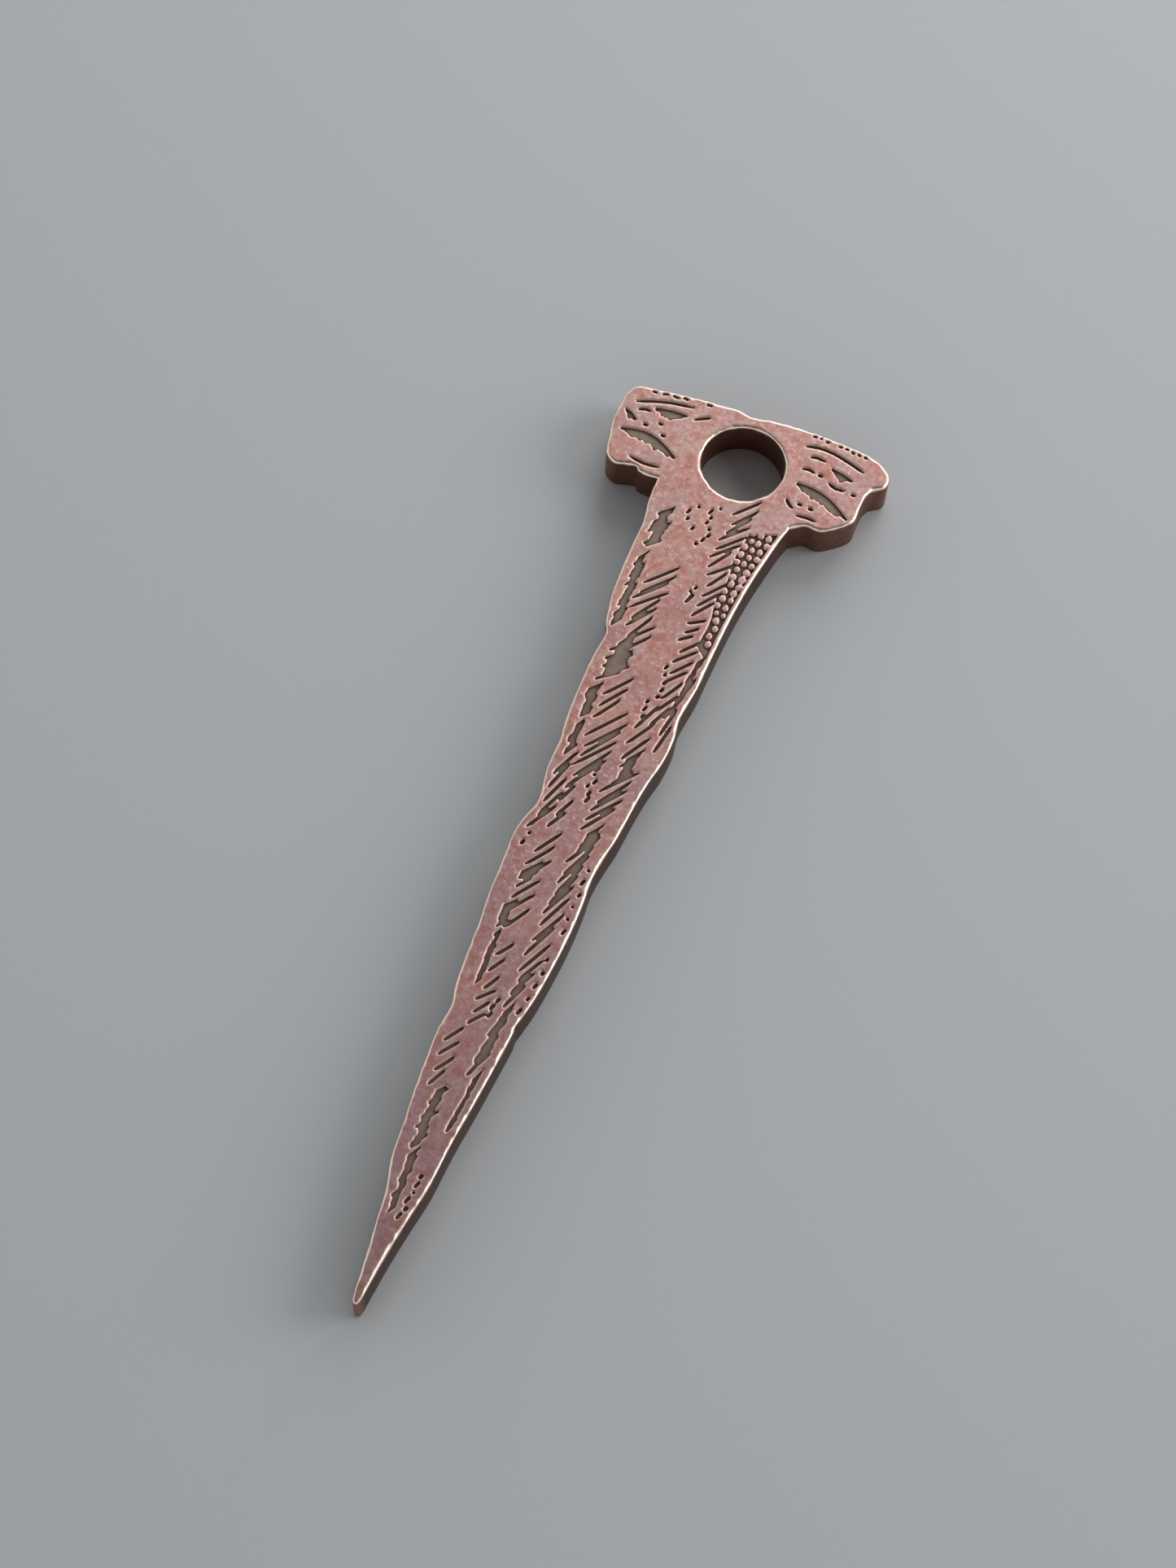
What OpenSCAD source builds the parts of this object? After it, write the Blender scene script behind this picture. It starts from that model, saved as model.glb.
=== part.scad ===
// Rail spike plate: a flat copper spike with a holed T head, cut from sheet, engraved with ink-like hatching
// and darkened in the engraving. Millimetres. The origin is on the hole's axis, on the plain back face.
// The head lies towards +Y, the point towards -Y, and the engraved face looks towards +Z.

/* [Plate] */
// Thickness of the plate
plate_thickness = 4.76; // [3:0.01:8]

/* [Head] */
// Diameter of the hole through the head
hole_d = 9.52; // [6:0.02:10.4]
// Reach of the head to the left of the hole's axis
head_left = 15.8; // [13:0.1:20]
// Reach of the head to the right of the hole's axis
head_right = 16; // [13:0.1:20]
// Rise of the crown above the hole's axis
crown_rise = 7; // [6.4:0.1:10]
// Drop from the hole's axis to the underside of the head
brow_drop = 5.6; // [5:0.1:9]

/* [Shank] */
// Length of the shank from the underside of the head to the point
shank_length = 99.9; // [60:0.1:140]
// Reach of the neck to the left of the hole's axis
neck_left = 8.2; // [6:0.1:10]
// Reach of the neck to the right of the hole's axis
neck_right = 7.6; // [6:0.1:10]

/* [Engraving] */
// Depth of the engraving below the face
engraving_depth = 0.35; // [0.2:0.05:1]
// Width of an engraved line
line_width = 0.4; // [0.3:0.02:0.6]
// Bare rim kept along the outer edge
edge_land = 0.55; // [0.4:0.05:1.2]
// Bare rim kept around the hole
hole_land = 0.55; // [0.4:0.05:1.2]
// Thickness of the dark patina on the floor of the engraving
patina_thickness = 0.05; // [0.02:0.01:0.1]

/* [Hidden] */

// Straight runs that stand for each curved span of the outline
head_steps = 4;
shank_steps = 3;
// Facets of the hole
hole_facets = 96;
// How far a cut runs past the face that it opens
cut_past = 1;

// Left edge of the shank, from the neck down: share of its length, share of the neck's reach
LEFT_EDGE = [
    [0.005, 1.00], [0.03, 0.985], [0.06, 0.92], [0.09, 0.925], [0.13, 0.91], [0.16, 0.88], [0.19, 0.81],
    [0.207, 0.73], [0.235, 0.76], [0.285, 0.755], [0.325, 0.725], [0.345, 0.685], [0.38, 0.68], [0.405, 0.63],
    [0.425, 0.605], [0.45, 0.685], [0.47, 0.71], [0.505, 0.69], [0.545, 0.665], [0.575, 0.625], [0.61, 0.60],
    [0.65, 0.56], [0.673, 0.495], [0.70, 0.52], [0.745, 0.495], [0.78, 0.455], [0.81, 0.41], [0.85, 0.365],
    [0.873, 0.28], [0.90, 0.225], [0.94, 0.16], [0.973, 0.105], [0.993, 0.07], [1.00, 0.04]
];

// Right edge of the shank, from the neck down: share of its length, share of the neck's reach
RIGHT_EDGE = [
    [0.005, 1.03], [0.02, 0.98], [0.045, 0.925], [0.08, 0.855], [0.115, 0.81], [0.15, 0.785], [0.20, 0.77],
    [0.23, 0.765], [0.26, 0.725], [0.275, 0.715], [0.30, 0.765], [0.33, 0.75], [0.355, 0.69], [0.385, 0.645],
    [0.43, 0.605], [0.455, 0.555], [0.485, 0.52], [0.515, 0.55], [0.55, 0.56], [0.59, 0.54], [0.63, 0.495],
    [0.655, 0.44], [0.67, 0.40], [0.68, 0.41], [0.72, 0.375], [0.765, 0.33], [0.81, 0.275], [0.86, 0.245],
    [0.895, 0.18], [0.94, 0.105], [0.98, 0.06], [0.994, 0.045], [1.00, 0.018]
];

// Underside of the left ear, from the neck out: share of the way from the neck to the ear's end, and share
// of the drop
LEFT_BROW = [
    [0, -1.00], [0.15, -1.02], [0.31, -0.99], [0.37, -0.91], [0.53, -0.95], [0.69, -1.00], [0.84, -0.88],
    [0.90, -0.71], [0.95, -0.38], [0.99, -0.12]
];

// Underside of the right ear, from its end in to the neck: the same shares
RIGHT_BROW = [
    [0.78, -0.03], [0.785, -0.18], [0.78, -0.38], [0.70, -0.55], [0.59, -0.70], [0.45, -0.85], [0.34, -0.875],
    [0.22, -0.86], [0.13, -0.93], [0.03, -1.05]
];

// Crown from the left ear to the right ear: share of that side's reach, share of the rise
CROWN = [
    [-0.99, 0.50], [-0.95, 0.69], [-0.85, 0.755], [-0.70, 0.81], [-0.55, 0.86], [-0.32, 0.91], [-0.20, 0.93],
    [-0.11, 0.895], [-0.02, 0.91], [0.04, 0.945], [0.18, 0.985], [0.33, 1.00], [0.48, 1.00], [0.62, 0.985],
    [0.76, 0.955], [0.87, 0.90], [0.94, 0.81], [0.985, 0.72]
];

// Ends of the two ears, between the crown and the underside: the same shares
LEFT_EAR = [[-1.00, 0.13], [-1.00, 0.30]];
RIGHT_EAR = [[1.00, 0.57], [0.985, 0.46], [0.94, 0.385], [0.915, 0.33], [0.89, 0.19]];

// A point part of the way, t, along the curve from p to q that leaves and arrives with the given slopes
function curve_point(p, q, slope_p, slope_q, t) =
    p * (2 * t ^ 3 - 3 * t ^ 2 + 1) + q * (3 * t ^ 2 - 2 * t ^ 3)
    + slope_p * (t ^ 3 - 2 * t ^ 2 + t) + slope_q * (t ^ 3 - t ^ 2);

// Half the way from the point before to the point after
function slope_at(points, i) = (points[min(i + 1, len(points) - 1)] - points[max(i - 1, 0)]) / 2;

// A smooth run through the points, each span cut into equal steps
function smooth(points, steps) = concat(
    [for (i = [0 : len(points) - 2], k = [0 : steps - 1])
        curve_point(points[i], points[i + 1], slope_at(points, i), slope_at(points, i + 1), k / steps)],
    [points[len(points) - 1]]
);

function reversed(points) = [for (i = [len(points) - 1 : -1 : 0]) points[i]];

// The outline's points in millimetres
function shank_y(along) = -brow_drop - along * shank_length;
function left_edge() = [for (p = LEFT_EDGE) [-neck_left * p[1], shank_y(p[0])]];
function right_edge() = [for (p = RIGHT_EDGE) [neck_right * p[1], shank_y(p[0])]];
function left_brow() =
    [for (p = LEFT_BROW) [-neck_left - p[0] * (head_left - neck_left), p[1] * brow_drop]];
function right_brow() =
    [for (p = RIGHT_BROW) [neck_right + p[0] * (head_right - neck_right), p[1] * brow_drop]];
function head_reach(side) = side < 0 ? head_left : head_right;
function upper_head(shares) = [for (p = shares) [p[0] * head_reach(p[0]), p[1] * crown_rise]];

module plate_outline() {
    head = concat(left_brow(), upper_head(LEFT_EAR), upper_head(CROWN), upper_head(RIGHT_EAR), right_brow());
    right = smooth(right_edge(), shank_steps);
    left = reversed(smooth(left_edge(), shank_steps));
    polygon(concat(smooth(head, head_steps), right, left));
}

// A place on the shank inside its bare rim: share of its length, and share across it from -1, left, to 1,
// right
function on_shank(along, across) = [
    across < 0 ? across * (neck_left * lookup(along, LEFT_EDGE) - edge_land)
               : across * (neck_right * lookup(along, RIGHT_EDGE) - edge_land),
    shank_y(along)
];

// A place on the head: share of the way from the hole's rim to the end of an ear, from -1, left, to 1, right,
// and share of the height there from -1, the underside, to 1, the crown
right_waist = 0.88;
hole_rim = hole_d / 2 + hole_land;
function ear_end(side) = (side < 0 ? head_left : head_right * right_waist) - edge_land;
function ear_x(out) = sign(out) * (hole_rim + abs(out) * (ear_end(out) - hole_rim));
function crown_y(x) = crown_rise * lookup(x / head_reach(x), CROWN) - edge_land;
function on_head(out, up) =
    let (x = ear_x(out))
    [x, up > 0 ? up * crown_y(x) : up * (brow_drop - edge_land)];

// A pen stroke from a to b, narrower at its ends and bowed sideways
STROKE_AT = [0, 0.18, 0.82, 1];
STROKE_HALF = [0.24, 0.5, 0.5, 0.2];
function stroke(a, b, width, bow = 0) =
    let (side = [a.y - b.y, b.x - a.x] / norm(b - a))
    let (spine = [for (t = STROKE_AT) a + (b - a) * t + side * bow * sin(180 * t)])
    concat(
        [for (i = [0 : len(spine) - 1]) spine[i] + side * width * STROKE_HALF[i]],
        [for (i = [len(spine) - 1 : -1 : 0]) spine[i] - side * width * STROKE_HALF[i]]
    );

// A pen line along a path, narrower at its two ends
function path_side(path, i) =
    let (run = path[min(i + 1, len(path) - 1)] - path[max(i - 1, 0)])
    [-run.y, run.x] / norm(run);
function path_half(path, i, width) = width * (i == 0 || i == len(path) - 1 ? 0.2 : 0.5);
function pen_line(path, width) = concat(
    [for (i = [0 : len(path) - 1]) path[i] + path_side(path, i) * path_half(path, i, width)],
    [for (i = [len(path) - 1 : -1 : 0]) path[i] - path_side(path, i) * path_half(path, i, width)]
);

// Groups of parallel strokes on the shank: places along it of the first and the last stroke's inner end,
// places across it of the inner and the outer ends, share of the drop by which the outer end lies lower, and
// share of the gap between strokes
HATCH = [
    [0.012, 0.085, 0.20, 0.52, -0.72, 0.92],
    [0.095, 0.150, 0.30, 0.64, -0.65, 0.92],
    [0.160, 0.184, 0.32, 0.62, -0.3, 0.71],
    [0.198, 0.240, 0.42, 0.76, -0.6, 0.96],
    [0.258, 0.322, 0.80, 0.97, -0.95, 1.75],
    [0.258, 0.292, 0.48, 0.76, -0.7, 1.08],
    [0.303, 0.343, 0.26, 0.60, -0.9, 1.13],
    [0.388, 0.437, 0.19, 0.76, -0.95, 1],
    [0.478, 0.542, 0.21, 0.74, -1.05, 1.04],
    [0.556, 0.612, 0.25, 0.74, -1.05, 1.17],
    [0.622, 0.655, 0.34, 0.74, -0.8, 1.08],
    [0.690, 0.738, 0.26, 0.50, -0.55, 1.25],
    [0.098, 0.190, -0.25, -0.70, 0.85, 0.92],
    [0.246, 0.276, -0.20, -0.58, 0.8, 0.96],
    [0.288, 0.350, 0.03, -0.58, 1.1, 1],
    [0.352, 0.420, -0.64, -0.94, 0.9, 1.33],
    [0.374, 0.424, -0.34, -0.58, 0.6, 1.08],
    [0.448, 0.482, -0.20, -0.62, 0.8, 1.13],
    [0.508, 0.542, -0.16, -0.60, 0.75, 1.04],
    [0.584, 0.624, -0.20, -0.46, 0.5, 1.17],
    [0.640, 0.668, -0.14, -0.50, 0.45, 0.92],
    [0.690, 0.740, -0.44, -0.86, 0.55, 1.25]
];

stroke_drop = 4;
stroke_gap = 1.2;
stroke_bow = 0.15;
stroke_sway = 0.06;
function hatch_strokes(row, seed) =
    let (count = max(2, floor((row[1] - row[0]) * shank_length / (stroke_gap * row[5])) + 1))
    let (sway = rands(-1, 1, 3 * count, seed))
    [for (i = [0 : count - 1])
        let (along = row[0] + (row[1] - row[0]) * i / (count - 1))
        let (inner = on_shank(along, row[2] + stroke_sway * sway[3 * i]))
        let (lower = along + stroke_drop * row[4] / shank_length)
        let (outer = on_shank(lower, row[3] + stroke_sway * sway[3 * i + 1]))
        stroke(inner, outer, line_width, stroke_bow * sway[3 * i + 2])];

// Ragged patches of merged bars on the shank: places along it of the first and the last bar, places across
// it of their near and far ends, and share of the drop by which the far end lies lower
PATCH = [
    [0.206, 0.250, 0.82, 0.99, -0.8],
    [0.348, 0.376, 0.30, 0.70, -1.5],
    [0.446, 0.470, 0.26, 0.70, -1.3],
    [0.664, 0.728, 0.42, 0.80, -1.1],
    [0.742, 0.806, 0.54, 0.88, -0.9],
    [0.026, 0.070, -0.62, -0.97, 1.1],
    [0.090, 0.178, -0.76, -0.97, 1],
    [0.196, 0.240, -0.34, -0.92, 1.3],
    [0.262, 0.300, -0.64, -0.95, 0.9],
    [0.310, 0.344, -0.70, -0.96, 1],
    [0.486, 0.504, -0.30, -0.66, 1.1],
    [0.536, 0.562, -0.44, -0.80, 0.8],
    [0.572, 0.632, -0.52, -0.70, 0.6],
    [0.752, 0.816, -0.16, -0.74, 1],
    [0.824, 0.890, -0.20, -0.82, 0.8]
];

// Bars lie side by side, each with its own ragged ends and a notch between its end and the next
bar_drop = 2;
bar_pitch = 0.55;
bar_half = 0.34;
bar_notch = 0.07;
near_rag = 0.3;
far_rag = 0.36;
function ragged_patch(row, seed) =
    let (count = max(3, round((row[1] - row[0]) * shank_length / bar_pitch) + 1))
    let (start = on_shank(row[0], row[2]))
    let (run = (on_shank(row[1], row[2]) - start) / (count - 1))
    let (middle = (row[0] + row[1]) / 2)
    let (lower = middle + bar_drop * row[4] / shank_length)
    let (bar = on_shank(lower, row[3]) - on_shank(middle, row[2]))
    let (rag = rands(0, 1, 2 * count, seed))
    let (near = [for (i = [0 : count - 1]) near_rag * rag[2 * i]])
    let (far = [for (i = [0 : count - 1]) 1 - far_rag * rag[2 * i + 1]])
    concat(
        [for (i = [0 : count - 1]) each concat(
            [for (side = [-bar_half, bar_half]) start + run * (i + side) + bar * near[i]],
            i == count - 1 ? [] : [start + run * (i + 0.5) + bar * (max(near[i], near[i + 1]) + bar_notch)])],
        [for (i = [count - 1 : -1 : 0]) each concat(
            [for (side = [bar_half, -bar_half]) start + run * (i + side) + bar * far[i]],
            i == 0 ? [] : [start + run * (i - 0.5) + bar * (min(far[i], far[i - 1]) - bar_notch)])]
    );

// Loose dashes and dots on the shank: first and last place along it, place across it, spread across it, count
SPECKS = [
    [0.006, 0.066, -0.06, 0.12, 8],
    [0.012, 0.050, -0.38, 0.10, 4],
    [0.112, 0.136, 0.08, 0.10, 4],
    [0.215, 0.290, 0.36, 0.10, 8],
    [0.352, 0.405, -0.10, 0.08, 7],
    [0.430, 0.480, -0.86, 0.05, 4],
    [0.470, 0.560, 0.93, 0.05, 6],
    [0.580, 0.660, 0.93, 0.05, 5],
    [0.645, 0.672, 0.02, 0.08, 3],
    [0.850, 0.905, 0.50, 0.20, 6]
];

speck_length = 0.8;
speck_lean = 0.35;
function specks(row, seed) =
    let (sway = rands(-1, 1, 3 * row[4], seed))
    [for (i = [0 : row[4] - 1])
        let (along = row[0] + (row[1] - row[0]) * (i + 0.5) / row[4])
        let (centre = on_shank(along, row[2] + row[3] * sway[3 * i]))
        let (half = [speck_lean, 1] * speck_length * (0.4 + 0.2 * sway[3 * i + 1]))
        stroke(centre - half, centre + half, line_width * (1 + 0.15 * sway[3 * i + 2]))];

// Pebbled band along the right edge under the head: the ground is cut away and the pebbles stand
pebble_from = 0.016;
pebble_to = 0.195;
pebble_inner = 0.54;
pebble_narrowing = 0.24;
pebble_pitch = 1;
pebble_size = 1.06;
pebble_fill = 1.02;
pebble_sides = 8;
pebble_dent = 0.72;
pebble_lengthening = 1.2;
pebble_sway = 0.06;
pebble_shrink = 0.22;
pebble_turn = 45;
pebble_stagger = 0.1;
ground_runs = 12;
ground_wave = 0.03;
ground_waves = 3;
ground_slant = 0.012;

function pebble_edge(along) =
    let (share = (along - pebble_from) / (pebble_to - pebble_from))
    pebble_inner + pebble_narrowing * share + ground_wave * sin(360 * ground_waves * share);
function ground_places(first, last) =
    [for (i = [0 : ground_runs]) first + (last - first) * i / ground_runs];
function pebble_ground() =
    let (down = ground_places(pebble_from, pebble_to))
    let (up = ground_places(pebble_to - ground_slant, pebble_from + ground_slant))
    concat([for (p = down) on_shank(p, 1)], [for (p = up) on_shank(p, pebble_edge(p))]);
function pebble(centre, size, turn, dents) = [for (k = [0 : pebble_sides - 1])
    let (angle = turn + 360 * k / pebble_sides)
    centre + size / 2 * dents[k] * [cos(angle), pebble_lengthening * sin(angle)]];

pebble_rows = floor((pebble_to - pebble_from) * shank_length / pebble_pitch) - 1;
function pebble_row(row) =
    let (along = pebble_from + (row + 0.9) * pebble_pitch / shank_length)
    let (inner = on_shank(along, pebble_edge(along)).x, band = on_shank(along, 1).x - inner)
    let (count = max(1, round(band / pebble_pitch)))
    let (sway = rands(-1, 1, 4 * count, row))
    let (stagger = 0.5 + (row % 2 == 0 ? -pebble_stagger : pebble_stagger))
    let (largest = min(pebble_size, pebble_fill * band / count))
    [for (i = [0 : count - 1])
        let (place = [inner + band * (i + stagger) / count, shank_y(along)])
        let (centre = place + pebble_sway * [sway[4 * i], sway[4 * i + 1]])
        let (size = largest * (1 - pebble_shrink * abs(sway[4 * i + 3])))
        let (dents = rands(pebble_dent, 1, pebble_sides, 200 + 10 * row + i))
        pebble(centre, size, pebble_turn * sway[4 * i + 2], dents)];

// Long ragged hollows that drape over the ears: places out along the ear, heights there, and sag and swell
// as shares of the crown's rise
HOLLOW = [
    [-0.93, -0.20, -0.22, -0.48, -0.10, 0.24],
    [0.14, 0.98, 0.00, -0.46, -0.05, 0.25],
    [-0.66, -0.28, 0.58, 0.60, 0.03, 0.20],
    [0.50, 0.84, 0.52, 0.44, 0.03, 0.16],
    [-0.97, -0.80, 0.36, 0.14, 0.01, 0.14]
];

hollow_runs = 22;
hollow_end = 0.06;
function hollow(row, seed) =
    let (rag = rands(0, 1, hollow_runs + 1, seed))
    let (a = on_head(row[0], row[2]), b = on_head(row[1], row[3]))
    let (shares = [for (i = [0 : hollow_runs]) i / hollow_runs])
    let (spine = [for (t = shares) a + (b - a) * t - [0, crown_rise * row[4] * sin(180 * t)]])
    let (swell = [for (t = shares) crown_rise * row[5] * sin(180 * (hollow_end + (1 - 2 * hollow_end) * t))])
    concat(
        [for (i = [0 : hollow_runs]) spine[i] + [0, 0.35 * swell[i]]],
        [for (i = [hollow_runs : -1 : 0]) spine[i] - [0, swell[i] * (0.25 + 0.55 * rag[i])]]
    );

// Long pen lines on the head, each through its own places
HEAD_LINES = [
    [[-0.90, 0.64], [-0.72, 0.74], [-0.50, 0.82], [-0.24, 0.84]],
    [[-0.84, 0.42], [-0.76, 0.48], [-0.68, 0.46]],
    [[-0.20, 0.56], [-0.10, 0.66], [-0.02, 0.72]],
    [[0.04, 0.76], [0.22, 0.82], [0.46, 0.82], [0.72, 0.76], [0.94, 0.70]],
    [[0.16, 0.58], [0.26, 0.62], [0.40, 0.60]],
    [[0.12, 0.30], [0.22, 0.34], [0.32, 0.30]],
    [[0.54, 0.22], [0.66, 0.16], [0.80, 0.18]],
    [[0.10, -0.46], [0.16, -0.58], [0.24, -0.66]],
    [[-0.70, -0.82], [-0.50, -0.88], [-0.32, -0.84]],
    [[0.30, -0.80], [0.46, -0.76], [0.60, -0.78]]
];

// Dots on the head
HEAD_DOTS = [
    [-0.52, 0.22], [-0.44, -0.04], [-0.68, 0.08], [0.30, -0.50], [0.40, 0.30], [0.92, 0.16], [0.46, -0.52]
];
dot_half = 0.32;

// Broken lines along the crown: first and last place out along the ear, height there and count of dashes
CROWN_DASHES = [
    [-0.78, -0.30, 0.99, 4],
    [-0.14, -0.03, 0.97, 1],
    [0.08, 0.36, 1.00, 3],
    [0.46, 0.94, 1.00, 5]
];
dash_rise = 0.03;
dash_thinning = 0.2;
function crown_dashes(row, seed) =
    let (sway = rands(-1, 1, 3 * row[3], seed))
    let (span = (row[1] - row[0]) / row[3])
    [for (i = [0 : row[3] - 1])
        let (near = row[0] + span * i, far = near + span * (0.65 + 0.15 * sway[3 * i]))
        let (a = on_head(near, row[2] + dash_rise * sway[3 * i + 1]))
        let (b = on_head(far, row[2] + dash_rise * sway[3 * i + 2]))
        stroke(a, b, line_width * (1 - dash_thinning))];

module engraving_plan() {
    for (i = [0 : len(HATCH) - 1], points = hatch_strokes(HATCH[i], 10 + i)) polygon(points);
    for (i = [0 : len(PATCH) - 1]) polygon(ragged_patch(PATCH[i], 40 + i));
    for (i = [0 : len(SPECKS) - 1], points = specks(SPECKS[i], 70 + i)) polygon(points);
    for (i = [0 : len(HOLLOW) - 1]) polygon(hollow(HOLLOW[i], 90 + i));
    for (places = HEAD_LINES) {
        path = smooth([for (p = places) on_head(p[0], p[1])], 2);
        polygon(pen_line(path, line_width));
    }
    for (i = [0 : len(CROWN_DASHES) - 1], points = crown_dashes(CROWN_DASHES[i], 120 + i)) polygon(points);
    for (p = HEAD_DOTS) {
        centre = on_head(p[0], p[1]);
        polygon(stroke(centre - [dot_half, 0], centre + [dot_half, 0], line_width));
    }
    difference() {
        polygon(pebble_ground());
        for (row = [0 : pebble_rows - 1], points = pebble_row(row)) polygon(points);
    }
}

floor_z = plate_thickness - engraving_depth;

module copper_plate() {
    color("#a8786e")
    difference() {
        linear_extrude(plate_thickness) plate_outline();
        translate([0, 0, -cut_past])
            cylinder(d = hole_d, h = plate_thickness + 2 * cut_past, $fn = hole_facets);
        translate([0, 0, floor_z]) linear_extrude(engraving_depth + cut_past) engraving_plan();
    }
}

module engraving_patina() {
    color("#5c5248")
    translate([0, 0, floor_z]) linear_extrude(patina_thickness) engraving_plan();
}

copper_plate();
engraving_patina();
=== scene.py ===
"""Dresses the rail spike plate: tumbled copper with an engraved, darkened face, on a plain floor."""

import math

import bpy
import numpy as np
from bpy.props import FloatProperty, FloatVectorProperty, IntProperty, PointerProperty
from bpy.types import Operator, Panel, PropertyGroup
from mathutils import Matrix, Vector
from mathutils.geometry import delaunay_2d_cdt


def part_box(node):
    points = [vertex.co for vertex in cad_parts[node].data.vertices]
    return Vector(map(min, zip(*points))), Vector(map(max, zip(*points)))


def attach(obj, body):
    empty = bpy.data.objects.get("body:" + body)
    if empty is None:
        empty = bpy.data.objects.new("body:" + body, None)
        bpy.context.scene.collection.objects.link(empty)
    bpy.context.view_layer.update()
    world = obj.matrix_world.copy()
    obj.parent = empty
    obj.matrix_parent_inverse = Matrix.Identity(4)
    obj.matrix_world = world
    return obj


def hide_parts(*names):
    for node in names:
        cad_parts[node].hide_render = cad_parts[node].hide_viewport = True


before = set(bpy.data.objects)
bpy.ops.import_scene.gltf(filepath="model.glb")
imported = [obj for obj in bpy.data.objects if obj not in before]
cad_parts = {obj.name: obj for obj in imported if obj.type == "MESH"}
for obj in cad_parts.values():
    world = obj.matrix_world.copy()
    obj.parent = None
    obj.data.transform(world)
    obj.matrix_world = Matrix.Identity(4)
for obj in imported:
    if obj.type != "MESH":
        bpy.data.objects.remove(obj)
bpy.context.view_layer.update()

bl_info = {
    "name": "Rail Spike Plate",
    "version": (1, 0, 0),
    "blender": (4, 5, 0),
    "location": "3D View > Sidebar > Rail Spike",
    "description": "Builds the copper skin, the engraving's patina and the stage of a flat rail spike",
    "category": "Object",
}

PLATE_NODE = "copper_plate"
PATINA_NODE = "engraving_patina"
BODY = "root"
PLATE_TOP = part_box(PLATE_NODE)[1].z
PATINA_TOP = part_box(PATINA_NODE)[1].z
MM = 0.001
# Two points closer than this are one point, in metres
SAME_POINT = 1e-6
# Points that are compared with an outline at a time
BLOCK = 4000

# Layers of unevenness: size in millimetres, share of the whole, and what is added to the seed
RIPPLES = ((2.3, 0.5, 1), (0.9, 0.3, 2), (0.4, 0.2, 3))
WANDER = ((2.6, 0.2, 0), (0.7, 0.28, 5))
CRUST = ((0.5, 0.6, 7), (0.26, 0.4, 8))
# Steps round the worn rim and round the small hem at the back: share of the turn, wear, share of the wall's
# oxide and painted shade
RIM_STEPS = ((0.35, 0.9, 0.1), (0.7, 0.7, 0.5), (1.0, 0.3, 1.0))
HEM_STEPS = ((0, 0, 1), (0.5, 0.25, 0.5), (1, 0.5, 0))


class SpikePlateSettings(PropertyGroup):
    """Sizes of the plate's skin."""

    cell: FloatProperty(
        name="Cell",
        description="Spacing of the grid that carries the engraved face",
        default=0.126 * MM, min=0.1 * MM, max=1 * MM, precision=6, unit="LENGTH",
    )
    rim_radius: FloatProperty(
        name="Rim radius",
        description="Radius that tumbling has worn on the edges of the face",
        default=0.42 * MM, min=0.25 * MM, max=0.6 * MM, precision=6, unit="LENGTH",
    )
    rim_inset: FloatProperty(
        name="Rim inset",
        description="Distance from the outline at which the rim's rounded strip takes over from the face",
        default=0.12 * MM, min=0.05 * MM, max=0.2 * MM, precision=6, unit="LENGTH",
    )
    floor_clearance: FloatProperty(
        name="Floor clearance",
        description="How far the engraving's copper floor lies under the top of the patina",
        default=0.06 * MM, min=0.01 * MM, max=0.2 * MM, precision=6, unit="LENGTH",
    )
    lip_softness: FloatProperty(
        name="Lip softness",
        description="Blur that rounds the lips of the engraving",
        default=0.07 * MM, min=0.02 * MM, max=0.2 * MM, precision=6, unit="LENGTH",
    )
    wall_half: FloatProperty(
        name="Wall half-width",
        description="Half the width, seen from above, of the engraving's sloping walls",
        default=0.055 * MM, min=0.03 * MM, max=0.1 * MM, precision=6, unit="LENGTH",
    )
    ripple: FloatProperty(
        name="Ripple",
        description="Height of the shallow unevenness that tumbling leaves on the face",
        default=0.02 * MM, min=0, max=0.1 * MM, precision=6, unit="LENGTH",
    )
    crust: FloatProperty(
        name="Crust",
        description="Unevenness of the patina on the engraving's floors",
        default=0.03 * MM, min=0, max=0.1 * MM, precision=6, unit="LENGTH",
    )
    layer: FloatProperty(
        name="Layer",
        description="Thickness of the patina's layer",
        default=0.05 * MM, min=0.02 * MM, max=0.2 * MM, precision=6, unit="LENGTH",
    )
    seed: IntProperty(name="Seed", description="Seed of the ripple and the wear", default=11, min=0)


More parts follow.
